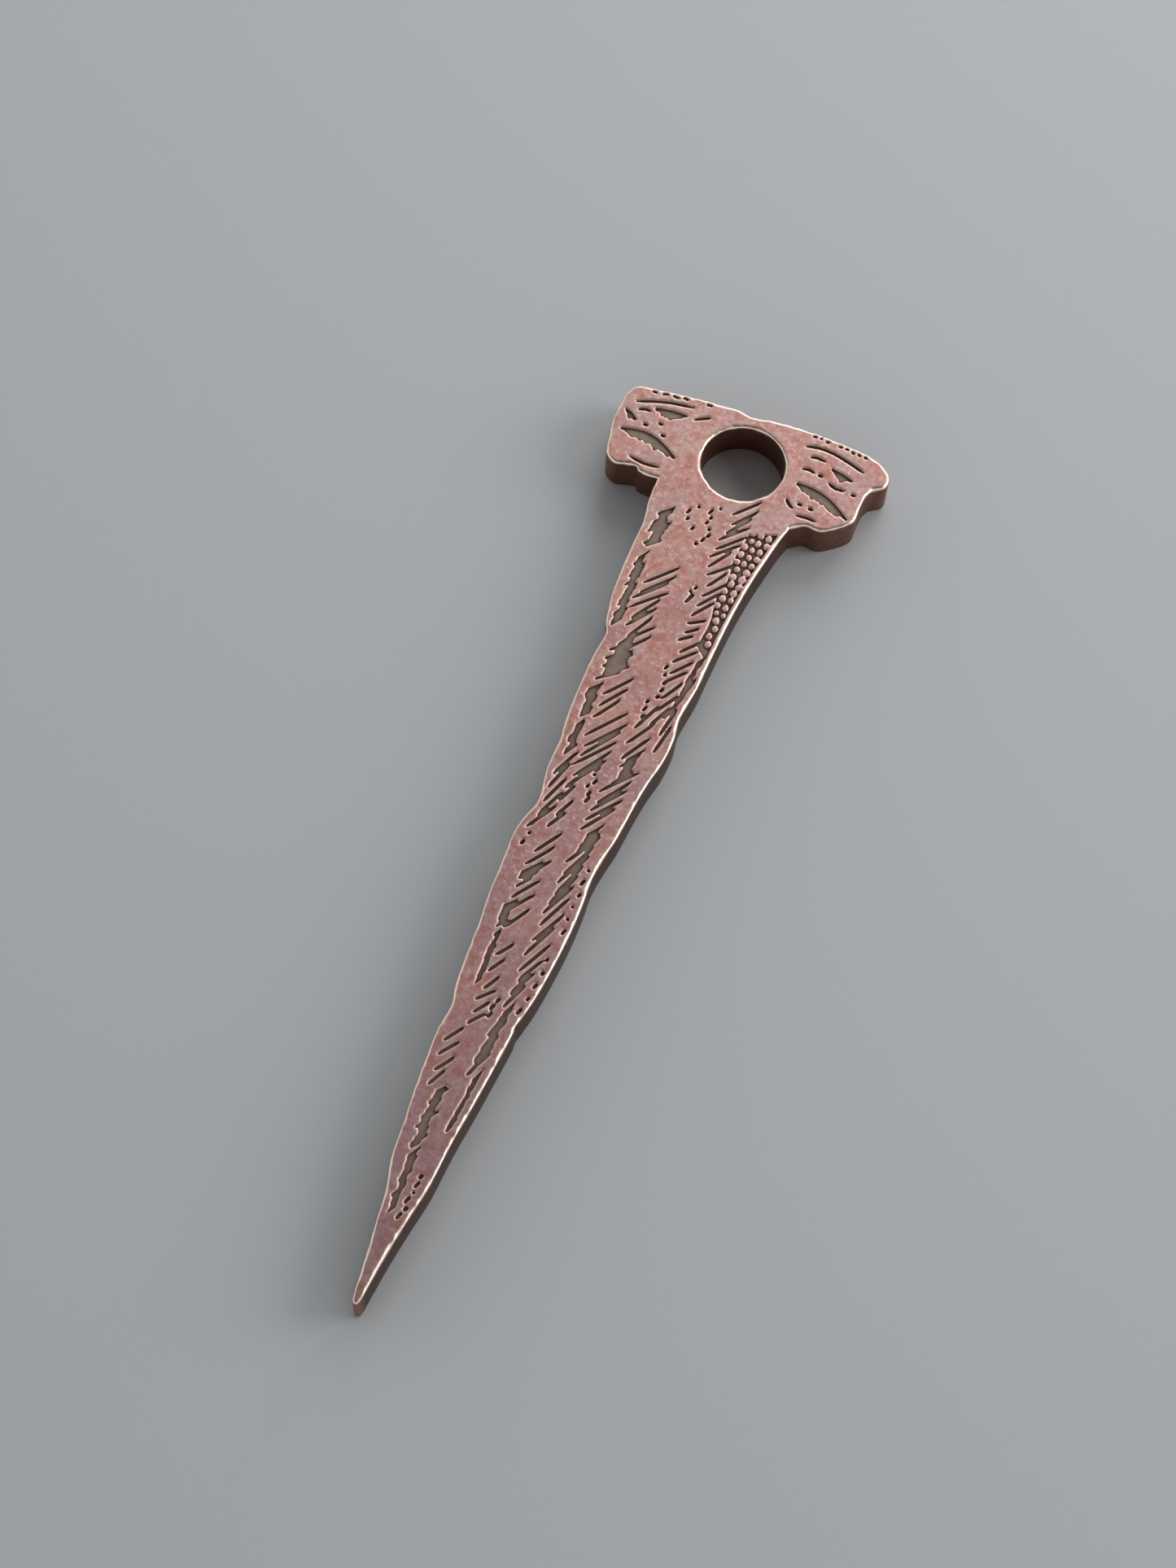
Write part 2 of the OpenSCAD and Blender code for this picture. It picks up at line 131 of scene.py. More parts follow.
class SpikeFinishSettings(PropertyGroup):
    """Colours of the copper and of the patina, as linear light."""

    pink: FloatVectorProperty(
        name="Pink", description="Fresh pink copper of the head and the upper shank",
        default=(0.60, 0.335, 0.295), min=0, max=1, subtype="COLOR",
    )
    mauve: FloatVectorProperty(
        name="Mauve", description="Mauve bloom of the lower shank",
        default=(0.47, 0.295, 0.32), min=0, max=1, subtype="COLOR",
    )
    ash: FloatVectorProperty(
        name="Ash", description="Pale greyish rub marks",
        default=(0.56, 0.43, 0.41), min=0, max=1, subtype="COLOR",
    )
    fleck: FloatVectorProperty(
        name="Fleck", description="Pale pink flecks where the metal shines through",
        default=(0.95, 0.62, 0.52), min=0, max=1, subtype="COLOR",
    )
    rust: FloatVectorProperty(
        name="Rust", description="Warm reddish blotches",
        default=(0.47, 0.20, 0.16), min=0, max=1, subtype="COLOR",
    )
    # Also lightens the engraving's lips, there partly worn metal and partly painted highlight
    worn: FloatVectorProperty(
        name="Worn", description="Bright metal on the worn rims",
        default=(0.97, 0.79, 0.65), min=0, max=1, subtype="COLOR",
    )
    # Oxide darkened further with painted shade: the cut walls look dark mostly because they lie in shade
    wall: FloatVectorProperty(
        name="Wall", description="Red-brown oxide on the cut walls",
        default=(0.075, 0.03, 0.018), min=0, max=1, subtype="COLOR",
    )
    # The shank's walls get little of this, which paints shade on them
    bare: FloatVectorProperty(
        name="Bare",
        description="Warm copper, bare at the point and thin under the oxide of the head's walls",
        default=(0.42, 0.19, 0.13), min=0, max=1, subtype="COLOR",
    )
    oxide: FloatVectorProperty(
        name="Oxide", description="Grey-brown oxide on the floors of the engraving",
        default=(0.36, 0.285, 0.23), min=0, max=1, subtype="COLOR",
    )
    # Dark oxide and painted shade: this colour darkens the engraving's walls and the patina's borders,
    # where shade falls
    dark_oxide_and_shade: FloatVectorProperty(
        name="Soot", description="Darkest brown in the corners of the engraving",
        default=(0.115, 0.048, 0.036), min=0, max=1, subtype="COLOR",
    )


class SpikeStageSettings(PropertyGroup):
    """Floor, lights and camera."""

    floor_colour: FloatVectorProperty(
        name="Floor", description="Colour of the plain floor",
        default=(0.52, 0.54, 0.556), min=0, max=1, subtype="COLOR",
    )
    sky_low: FloatVectorProperty(
        name="Low sky", description="Light from all round, low down",
        default=(1.03, 1.05, 1.07), min=0, max=2, subtype="COLOR",
    )
    sky_high: FloatVectorProperty(
        name="High sky", description="Light from overhead",
        default=(0.0, 0.0, 0.0), min=0, max=1, subtype="COLOR",
    )
    key_power: FloatProperty(
        name="Key power", description="Power of the large soft light to the right",
        default=2.1, min=0, unit="POWER",
    )
    far_power: FloatProperty(
        name="Far power", description="Power of the wide soft light beyond the head",
        default=2.7, min=0, unit="POWER",
    )
    top_power: FloatProperty(
        name="Top power", description="Power of the dim soft light that the face mirrors",
        default=0.24, min=0, unit="POWER",
    )
    azimuth: FloatProperty(
        name="Azimuth",
        description="Direction the camera stands in, 0 on the point's side and 90 on the right",
        default=math.radians(19.8), subtype="ANGLE",
    )
    elevation: FloatProperty(
        name="Elevation", description="Height of the camera above the floor, as an angle",
        default=math.radians(64.3), subtype="ANGLE",
    )
    roll: FloatProperty(
        name="Roll", description="Turn of the camera about its own line of sight",
        default=math.radians(3.04), subtype="ANGLE",
    )
    distance: FloatProperty(
        name="Distance", description="Distance from the camera to its aim",
        default=321.8 * MM, min=0.01, unit="LENGTH",
    )
    aim: FloatVectorProperty(
        name="Aim", description="Point at the centre of the picture",
        default=(-0.7 * MM, -44 * MM, 4.76 * MM), subtype="TRANSLATION",
    )
    lens: FloatProperty(
        name="Lens", description="Focal length, for 36 mm on the picture's long side",
        default=69.14, min=1, unit="CAMERA",
    )


# Outlines read from the solids


def node_triangles(node):
    """Corners of a CAD node's triangles in metres, as an array of triangle, corner, axis."""
    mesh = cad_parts[node].data
    mesh.calc_loop_triangles()
    corners = np.empty(len(mesh.vertices) * 3)
    mesh.vertices.foreach_get("co", corners)
    picks = np.empty(len(mesh.loop_triangles) * 3, dtype=np.int64)
    mesh.loop_triangles.foreach_get("vertices", picks)
    return corners.reshape(-1, 3)[picks].reshape(-1, 3, 3)


def level_edges(node, level):
    """Outline of a node's flat face at one height, holes included, as an array of edge, end, x and y.

    The triangles that lie at that height are taken, and of their sides the ones that only one of them has.
    """
    triangles = node_triangles(node)
    flat = triangles[np.all(np.abs(triangles[:, :, 2] - level) < SAME_POINT, axis=1)][:, :, :2]
    sides = np.stack([flat, np.roll(flat, -1, axis=1)], axis=2).reshape(-1, 2, 2)
    places = np.round(sides.reshape(-1, 2) / SAME_POINT).astype(np.int64)
    keys = np.unique(places, axis=0, return_inverse=True)[1]
    keys = np.sort(keys.reshape(-1, 2), axis=1)
    _, first, count = np.unique(keys, axis=0, return_index=True, return_counts=True)
    return sides[first[count == 1]]


def filled(edges, xs, ys):
    """Even-odd fill of closed loops of edges, 1 inside and 0 outside, on rows at ys and columns at xs.

    An edge that crosses a row flips all that lies to the right of the crossing, so the running count of
    flips along the row is odd inside.
    """
    start, end = edges[:, 0], edges[:, 1]
    edge, row = np.nonzero((start[:, 1, None] > ys) != (end[:, 1, None] > ys))
    share = (ys[row] - start[edge, 1]) / (end[edge, 1] - start[edge, 1])
    crossing = start[edge, 0] + share * (end[edge, 0] - start[edge, 0])
    flips = np.zeros((len(ys), len(xs) + 1), dtype=np.int32)
    np.add.at(flips, (row, np.searchsorted(xs, crossing)), 1)
    return np.cumsum(flips[:, :-1], axis=1) % 2


def are_inside(edges, points):
    """Which points lie inside closed loops of edges."""
    columns, place = np.unique(points[:, 0], return_inverse=True)
    return filled(edges, columns, points[:, 1])[np.arange(len(points)), place] == 1


def nearest_on(edges, points):
    """Nearest place on the edges to each point, the unit direction from there, and the distance.

    The foot of the perpendicular is kept between an edge's ends, and the nearest edge wins.
    """
    start, run = edges[:, 0], edges[:, 1] - edges[:, 0]
    square = np.sum(run * run, axis=1)
    found = []
    for block in np.array_split(points, 1 + len(points) // BLOCK):
        away = block[:, None] - start
        share = np.clip(np.sum(away * run, axis=2) / square, 0, 1)
        gap = np.sum((away - share[:, :, None] * run) ** 2, axis=2)
        best = np.argmin(gap, axis=1)
        rows = np.arange(len(block))
        foot = start[best] + share[rows, best][:, None] * run[best]
        distance = np.sqrt(gap[rows, best])
        found.append((foot, (block - foot) / distance[:, None], distance))
    return [np.concatenate(part) for part in zip(*found)]


def blurred(field, sigma):
    """Gaussian blur, down the columns and then along the rows, with sigma in samples."""
    reach = int(math.ceil(3 * sigma))
    weights = np.exp(-0.5 * (np.arange(-reach, reach + 1) / sigma) ** 2)
    weights /= weights.sum()
    for _ in range(2):
        padded = np.pad(field, ((reach, reach), (0, 0)), mode="edge")
        field = sum(w * padded[k:k + len(field)] for k, w in enumerate(weights)).T
    return field


def spread(field, reach):
    """Largest value within reach samples of each one, down the columns and then along the rows."""
    for _ in range(2):
        padded = np.pad(field, ((reach, reach), (0, 0)), mode="edge")
        field = np.max([padded[k:k + len(field)] for k in range(2 * reach + 1)], axis=0).T
    return field


def cloud(points, size, seed):
    """Smooth random field from -1 to 1: random numbers on a square lattice, blended by a smooth step."""
    side = 256
    lattice = np.random.default_rng(seed).uniform(-1, 1, (side, side))
    place = points / size
    base = np.floor(place).astype(int)
    t = place - base
    t = t * t * (3 - 2 * t)
    x, y = base.T % side
    right, above = (x + 1) % side, (y + 1) % side
    low = lattice[x, y] * (1 - t[:, 0]) + lattice[right, y] * t[:, 0]
    high = lattice[x, above] * (1 - t[:, 0]) + lattice[right, above] * t[:, 0]
    return low * (1 - t[:, 1]) + high * t[:, 1]


def unevenness(layers, points, seed):
    """Sum of smooth random fields, each with its own size, share and seed."""
    return sum(share * cloud(points, size * MM, seed + turn) for size, share, turn in layers)


def smooth_step(low, high, value):
    """0 below low, 1 above high, and a smooth S between."""
    t = np.clip((value - low) / (high - low), 0, 1)
    return t * t * (3 - 2 * t)


# The copper plate's skin


def grid_lines(edges, cell):
    """Columns and rows of a square grid that reaches a little past the outline on every side."""
    low, high = edges.reshape(-1, 2).min(axis=0), edges.reshape(-1, 2).max(axis=0)
    return (np.arange(low[axis] - cell, high[axis] + 2 * cell, cell) for axis in (0, 1))


def face_cells(edges, xs, ys, inset):
    """Which cells of the grid belong to the face: centre inside the outline and more than inset from it."""
    middle_x, middle_y = (xs[:-1] + xs[1:]) / 2, (ys[:-1] + ys[1:]) / 2
    kept = filled(edges, middle_x, middle_y) == 1
    row, column = np.nonzero(kept)
    centres = np.stack([middle_x[column], middle_y[row]], axis=1)
    kept[row, column] = nearest_on(edges, centres)[2] > inset
    return kept


def cell_corners(kept, xs, ys):
    """Grid corners that the kept cells use, each cell's four of them anticlockwise, and their x and y.

    Two cells that touch only at a corner first get a third beside them, so that no corner is pinched.
    """
    a, b, c, d = kept[:-1, :-1], kept[:-1, 1:], kept[1:, :-1], kept[1:, 1:]
    pinched = (a & d & ~b & ~c) | (b & c & ~a & ~d)
    kept[:-1, :-1] |= pinched
    kept[:-1, 1:] |= pinched
    row, column = np.nonzero(kept)
    width = len(xs)
    first = row * width + column
    corners = np.stack([first, first + 1, first + width + 1, first + width], axis=1)
    used, corners = np.unique(corners, return_inverse=True)
    return used, corners.reshape(-1, 4), np.stack([xs[used % width], ys[used // width]], axis=1)


def engraved_share(xs, ys, softness):
    """How far each grid corner is inside the engraving, 0 to 1: softly, more softly, and its slope.

    The patina's outline is filled on a finer grid. There the slivers of copper too thin for the face's grid
    are closed, by spreading the engraving and then spreading the copper back. The result is blurred and
    read at the corners, and its slope is given in x and in y.
    """
    finer, sliver, wider = 4, 2, 3.5
    step = (xs[1] - xs[0]) / finer
    fine_x = xs[0] + step * np.arange((len(xs) - 1) * finer + 1)
    fine_y = ys[0] + step * np.arange((len(ys) - 1) * finer + 1)
    cover = filled(level_edges(PATINA_NODE, PATINA_TOP), fine_x, fine_y).astype(np.float32)
    cover = 1 - spread(1 - spread(cover, sliver), sliver)
    soft = blurred(cover, softness / step)
    softer = blurred(cover, wider * softness / step)
    slope_y, slope_x = np.gradient(soft, step)
    return [part[::finer, ::finer] for part in (soft, softer, slope_x, slope_y)]


def drawn_to_walls(settings, flat, share, slope):
    """Draws the grid's corners near an edge of the engraving to the lip or the foot of its wall, in place.

    Softened coverage crosses a straight edge much as a logistic curve does, so the inverse of that curve
    gives the distance in from the edge, and the slope gives the way. A corner moves less than half a cell,
    and stays put where the slope is too weak for a single edge. The share at the new places is returned.
    """
    # A blur's width over that of the logistic curve most like it, and the least share with an inverse
    width_ratio, least = 1.702, 1e-4
    # How near a lip or a foot draws a corner, and how far it moves at most
    near, furthest = 0.5 * settings.cell, 0.42 * settings.cell
    # Share of a single straight edge's slope that a corner needs
    single = 0.6
    scale = settings.lip_softness / width_ratio
    share = np.clip(share, least, 1 - least)
    inward = scale * np.log(share / (1 - share))
    steepness = np.linalg.norm(slope, axis=1)
    step = np.where(inward < 0, -1, 1) * settings.wall_half - inward
    moved = (np.abs(step) < near) & (steepness > single * share * (1 - share) / scale)
    step = np.clip(step, -furthest, furthest)[moved]
    flat[moved] += (step / steepness[moved])[:, None] * slope[moved]
    inward[moved] += step
    return 1 / (1 + np.exp(-inward / scale))


def rim_drop(radius, distance):
    """How far a quarter-round rim lies below the face at a distance in from the outline."""
    beyond = np.clip(radius - distance, 0, radius)
    return radius - np.sqrt(radius ** 2 - beyond ** 2)


def split_cells(corners, flat, level):
    """Two triangles for each cell, cut along the diagonal whose ends are more alike in level.

    corners holds each cell's four vertices, anticlockwise, and flat the vertices' x and y. Where neither
    diagonal follows an edge, or the one that does leaves a thin triangle, the smaller triangle is kept as
    large as it can be.
    """
    # Difference in level that marks an edge, and the share of a usual triangle below which one is thin
    edge_mark, thin = 0.02, 0.2

    def area(i, j, k):
        a, b, c = flat[corners[:, i]], flat[corners[:, j]], flat[corners[:, k]]
        return (b[:, 0] - a[:, 0]) * (c[:, 1] - a[:, 1]) - (c[:, 0] - a[:, 0]) * (b[:, 1] - a[:, 1])

    first = np.minimum(area(0, 1, 2), area(0, 2, 3))
    second = np.minimum(area(0, 1, 3), area(1, 2, 3))
    at = level[corners].T
    lean = np.abs(at[1] - at[3]) - np.abs(at[0] - at[2])
    plain = (np.abs(lean) < edge_mark) | (np.where(lean > 0, first, second) < thin * np.median(first))
    along_first = np.where(plain, first > second, lean > 0)
    upper = np.where(along_first[:, None], corners[:, [0, 1, 2]], corners[:, [0, 1, 3]])
    lower = np.where(along_first[:, None], corners[:, [0, 2, 3]], corners[:, [1, 2, 3]])
    return np.concatenate([upper, lower])


def border_edges(triangles):
    """Sides that only one triangle has, in that triangle's own direction."""
    sides = np.concatenate([triangles[:, [0, 1]], triangles[:, [1, 2]], triangles[:, [2, 0]]])
    _, first, count = np.unique(np.sort(sides, axis=1), axis=0, return_index=True, return_counts=True)
    return sides[first[count == 1]]


def worn_radius(settings, flat):
    """The rim's radius, which wanders along the outline as wear does."""
    return settings.rim_radius * (1 + unevenness(WANDER, flat, settings.seed))


def face_height(settings, flat, distance, share):
    """Height of the face: the plate's top, less the rounded rim, the engraving and shallow ripples."""
    rim = worn_radius(settings, flat)
    depth = PLATE_TOP - PATINA_TOP + settings.floor_clearance
    ripples = settings.ripple * (0.5 - 0.5 * unevenness(RIPPLES, flat, settings.seed))
    lowered = rim_drop(rim, distance) + ripples * smooth_step(0, MM, distance)
    return PLATE_TOP - lowered - depth * share


def edge_profile(rim, inset):
    """Rings of the plate's edge from the face's border to the back: distance in, height, wear and share of
    the wall's oxide and painted shade.

    The rest of the rim's quarter circle comes first, then the straight wall, then a small quarter circle of
    the inset's own radius, which ends below the border.
    """
    first = np.arcsin(1 - inset / rim)
    rings = []
    for turn, wear, wall in RIM_STEPS:
        angle = first + turn * (math.pi / 2 - first)
        rings.append((rim * (1 - np.sin(angle)), PLATE_TOP - rim * (1 - np.cos(angle)), wear, wall))
    rings.append((0, PLATE_TOP / 2, 0, 1))
    for turn, wear, wall in HEM_STEPS:
        angle = turn * math.pi / 2
        rings.append((inset * (1 - math.cos(angle)), inset * (1 - math.sin(angle)), wear, wall))
    return rings


def back_triangles(hem, loop, lattice):
    """Triangles of the flat back, facing down: the hem's loops filled, with a lattice of points inside.

    A triangle on the hem is kept if it has a loop's side in the loop's own direction, and dropped if it has
    one the other way round, as those in the hole do. Any other is judged by its centre.
    """
    inside_loops, merged_under = 1, SAME_POINT * 1e-3
    points = np.concatenate([hem, lattice])
    made = delaunay_2d_cdt(points.tolist(), loop.tolist(), [], inside_loops, merged_under)
    if len(made[0]) != len(points):
        raise RuntimeError("The back's outline crosses itself")
    back = np.array(made[3]).reshape(-1)[np.array(made[2])]
    ahead = np.roll(back, -1, axis=1)
    sides = loop[:, 0] * len(points) + loop[:, 1]
    along = np.isin(back * len(points) + ahead, sides).any(axis=1)
    against = np.isin(ahead * len(points) + back, sides).any(axis=1)
    centred = are_inside(hem[loop], points[back].mean(axis=1))
    return back[along | (centred & ~against)][:, ::-1]


def plate_skin(settings):
    """Vertices, triangles, flat-shaded count and attributes of the plate's closed skin, in metres.

    The face is a height over a grid in x and y, and its border is drawn to the outline's inset curve. From
    there the edge's profile is carried round the outline, and the flat back closes it.
    """
    cell, inset = settings.cell, settings.rim_inset
    # Shares of softened coverage at a wall's lip and foot
    lip_share, foot_share = 0.06, 0.94
    # Distances from the outline, in rim radii, at which the wear is whole and gone
    worn_to, gone_at = 0.35, 1.1
    # The back's lattice: its spacing, and its clearance from the hem, in cells
    coarse, clear = 14, 6
    edges = level_edges(PLATE_NODE, 0)
    xs, ys = grid_lines(edges, cell)
    used, corners, flat = cell_corners(face_cells(edges, xs, ys, inset), xs, ys)
    share, near, *slope = (part.reshape(-1)[used] for part in engraved_share(xs, ys, settings.lip_softness))
    share = drawn_to_walls(settings, flat, share, np.stack(slope, axis=1))
    foot, direction, distance = nearest_on(edges, flat)
    border = np.bincount(corners.reshape(-1)) < 4
    flat[border] = foot[border] + inset * direction[border]
    distance[border] = inset
    cut = smooth_step(lip_share, foot_share, share)
    triangles = split_cells(corners, flat, cut)
    face_count = len(flat)

    # The edge: one ring of vertices for each step of the profile
    ring, loop = np.unique(border_edges(triangles), return_inverse=True)
    loop = loop.reshape(-1, 2)
    rings = edge_profile(worn_radius(settings, flat[ring]), inset)
    around = [np.column_stack([
        foot[ring] + np.reshape(depth, (-1, 1)) * direction[ring], np.broadcast_to(level, len(ring)),
    ]) for depth, level, _, _ in rings]
    added = face_count + np.arange(len(rings) * len(ring)).reshape(len(rings), -1)
    numbers = np.concatenate([[ring], added])
    a, b = numbers[:, loop[:, 0]], numbers[:, loop[:, 1]]
    strips = np.concatenate([
        np.stack([b[:-1], a[:-1], a[1:]], axis=-1).reshape(-1, 3),
        np.stack([b[:-1], a[1:], b[1:]], axis=-1).reshape(-1, 3),
    ])

    # The back, with a coarse lattice inside it so that its triangles stay even
    coarse_x, coarse_y = xs[::coarse], ys[::coarse]
    lattice = np.stack(np.meshgrid(coarse_x, coarse_y), axis=-1).reshape(-1, 2)
    lattice = lattice[(filled(edges, coarse_x, coarse_y) == 1).reshape(-1)]
    lattice = lattice[nearest_on(edges, lattice)[2] > inset + clear * cell]
    back = numbers[-1][0] + back_triangles(around[-1][:, :2], loop, lattice)

    vertices = np.concatenate([
        np.column_stack([flat, face_height(settings, flat, distance, cut)]),
        *around,
        np.column_stack([lattice, np.zeros(len(lattice))]),
    ])
    rest, lattice_rest = np.zeros(len(vertices) - face_count), np.zeros(len(lattice))
    wear = 1 - smooth_step(worn_to, gone_at, distance / worn_radius(settings, flat))
    ring_wear, ring_wall = (np.repeat([step[part] for step in rings], len(ring)) for part in (2, 3))
    attributes = {
        "wear": np.concatenate([wear, ring_wear, lattice_rest]),
        "wall": np.concatenate([0 * wear, ring_wall, lattice_rest]),
        "cut": np.concatenate([cut, rest]),
        # lip is nearness to the engraving on the face; the copper lightens it as wear and painted highlight
        "lip": np.concatenate([near * (1 - share), rest]),
    }
    return vertices, np.concatenate([triangles, strips, back]), len(back), attributes


def patina_skin(settings):
    """Vertices, triangles, flat-shaded count and attributes of the layer on the engraving's floors.

    Each layer is a height over the same grid as the face: the patina's top, less a shallow crust. It runs
    on under the engraving's sloping lips, where its stepped border is out of sight, and a flat underside
    closes it. Lengths are in metres.
    """
    # Least share of a cell inside the engraving, and the shares at which the dark edge, oxide and painted
    # shade, is whole and gone
    least, edge_whole, edge_gone = 0.2, 0.55, 0.95
    edges = level_edges(PLATE_NODE, 0)
    xs, ys = grid_lines(edges, settings.cell)
    share, near, _, _ = engraved_share(xs, ys, settings.lip_softness)
    kept = (share[:-1, :-1] + share[:-1, 1:] + share[1:, :-1] + share[1:, 1:]) / 4 > least
    used, corners, flat = cell_corners(kept, xs, ys)
    height = PATINA_TOP - settings.crust * (0.5 + 0.5 * unevenness(CRUST, flat, settings.seed))
    triangles = split_cells(corners, flat, height)
    border = border_edges(triangles)
    under = len(flat)
    sides = np.concatenate([
        np.stack([border[:, 1], border[:, 0], border[:, 0] + under], axis=1),
        np.stack([border[:, 1], border[:, 0] + under, border[:, 1] + under], axis=1),
    ])
    vertices = np.concatenate([
        np.column_stack([flat, height]),
        np.column_stack([flat, np.full(under, PATINA_TOP - settings.layer)]),
    ])
    # The dark edge along the engraving's borders is oxide and painted shade
    edge = np.tile(1 - smooth_step(edge_whole, edge_gone, near.reshape(-1)[used]), 2)
    underside = triangles[:, ::-1] + under
    flat_count = len(sides) + len(underside)
    return vertices, np.concatenate([triangles, sides, underside]), flat_count, {"edge": edge}


def add_mesh_piece(name, vertices, triangles, flat_count, attributes):
    """A mesh object at the origin, put in as whole arrays, with values at its vertices.

    It is smooth but for its last flat_count triangles.
    """
    mesh = bpy.data.meshes.new(name)
    mesh.vertices.add(len(vertices))
    mesh.vertices.foreach_set("co", vertices.astype(np.float32).reshape(-1))
    mesh.loops.add(triangles.size)
    mesh.loops.foreach_set("vertex_index", triangles.astype(np.int32).reshape(-1))
    mesh.polygons.add(len(triangles))
    mesh.polygons.foreach_set("loop_start", np.arange(0, triangles.size, 3, dtype=np.int32))
    smooth = np.ones(len(triangles), dtype=bool)
    smooth[len(triangles) - flat_count:] = False
    mesh.polygons.foreach_set("use_smooth", smooth)
    for label, values in attributes.items():
        mesh.attributes.new(label, "FLOAT", "POINT").data.foreach_set("value", values.astype(np.float32))
    mesh.update(calc_edges=True)
    mesh.validate()
    piece = bpy.data.objects.new(name, mesh)
    bpy.context.scene.collection.objects.link(piece)
    return piece


# Materials


class Field:
    """A socket in a node tree. Sums, differences and products of fields and numbers add Math nodes."""

    def __init__(self, tree, socket=None):
        self.tree = tree
        self.socket = socket

    def node(self, kind, settings=None, sockets=None, output=0):
        """Adds a node: its settings are set first, then each socket gets its value or its link."""
        made = self.tree.nodes.new(kind)
        for name, value in (settings or {}).items():
            setattr(made, name, value)
        for name, value in (sockets or {}).items():
            if isinstance(value, Field):
                self.tree.links.new(value.socket, made.inputs[name])
            else:
                made.inputs[name].default_value = value
        return Field(self.tree, made.outputs[output]) if len(made.outputs) else made

    def math(self, operation, first, second):
        """Adds a Math node with two inputs."""
        return self.node("ShaderNodeMath", {"operation": operation}, {0: first, 1: second})

    def __add__(self, other):
        return self.math("ADD", self, other)

    __radd__ = __add__

    def __sub__(self, other):
        return self.math("SUBTRACT", self, other)

    def __rsub__(self, other):
        return self.math("SUBTRACT", other, self)

    def __mul__(self, other):
        return self.math("MULTIPLY", self, other)

    __rmul__ = __mul__

    def rise(self, low, high):
        """0 below low, 1 above high, and a smooth S between."""
        return self.node(
            "ShaderNodeMapRange", {"interpolation_type": "SMOOTHSTEP"},
            {"Value": self, "From Min": low, "From Max": high},
        )

    def between(self, first, second):
        """The colour that lies this far from the first to the second."""
        sockets = {0: self, 6: colour(first), 7: colour(second)}
        return self.node("ShaderNodeMix", {"data_type": "RGBA", "clamp_factor": True}, sockets, output=2)


def colour(value):
    """A colour socket's value: a field as it is, and three numbers with a full alpha."""
    return value if isinstance(value, Field) else (*value, 1.0)


def new_material(name):
    """An empty material, and a field that stands for its tree."""
    material = bpy.data.materials.new(name)
    material.use_nodes = True
    material.node_tree.nodes.clear()
    return material, Field(material.node_tree)


def close_material(tree, sockets):
    """Ends a tree with a Principled shader that has these sockets."""
    shader = tree.node("ShaderNodeBsdfPrincipled", None, sockets)
    tree.node("ShaderNodeOutputMaterial", None, {"Surface": shader})


def place_in_mm(tree):
    """The place on the piece in millimetres."""
    place = tree.node("ShaderNodeTexCoord", output=3)
    return tree.node("ShaderNodeVectorMath", {"operation": "SCALE"}, {0: place, "Scale": 1 / MM})


def way_down(tree, place):
    """Distance from the hole's axis towards the point, in millimetres."""
    return 0 - tree.node("ShaderNodeSeparateXYZ", None, {"Vector": place}, output=1)


def grain(tree, place, per_mm, detail, roughness=0.6):
    """Noise from 0 to 1 with this many lumps to the millimetre."""
    return tree.node("ShaderNodeTexNoise", None, {
        "Vector": place, "Scale": per_mm, "Detail": detail, "Roughness": roughness,
    })


def value_of(tree, name):
    """A value that the piece's mesh carries at its vertices."""
    return tree.node("ShaderNodeAttribute", {"attribute_name": name}, output=2)


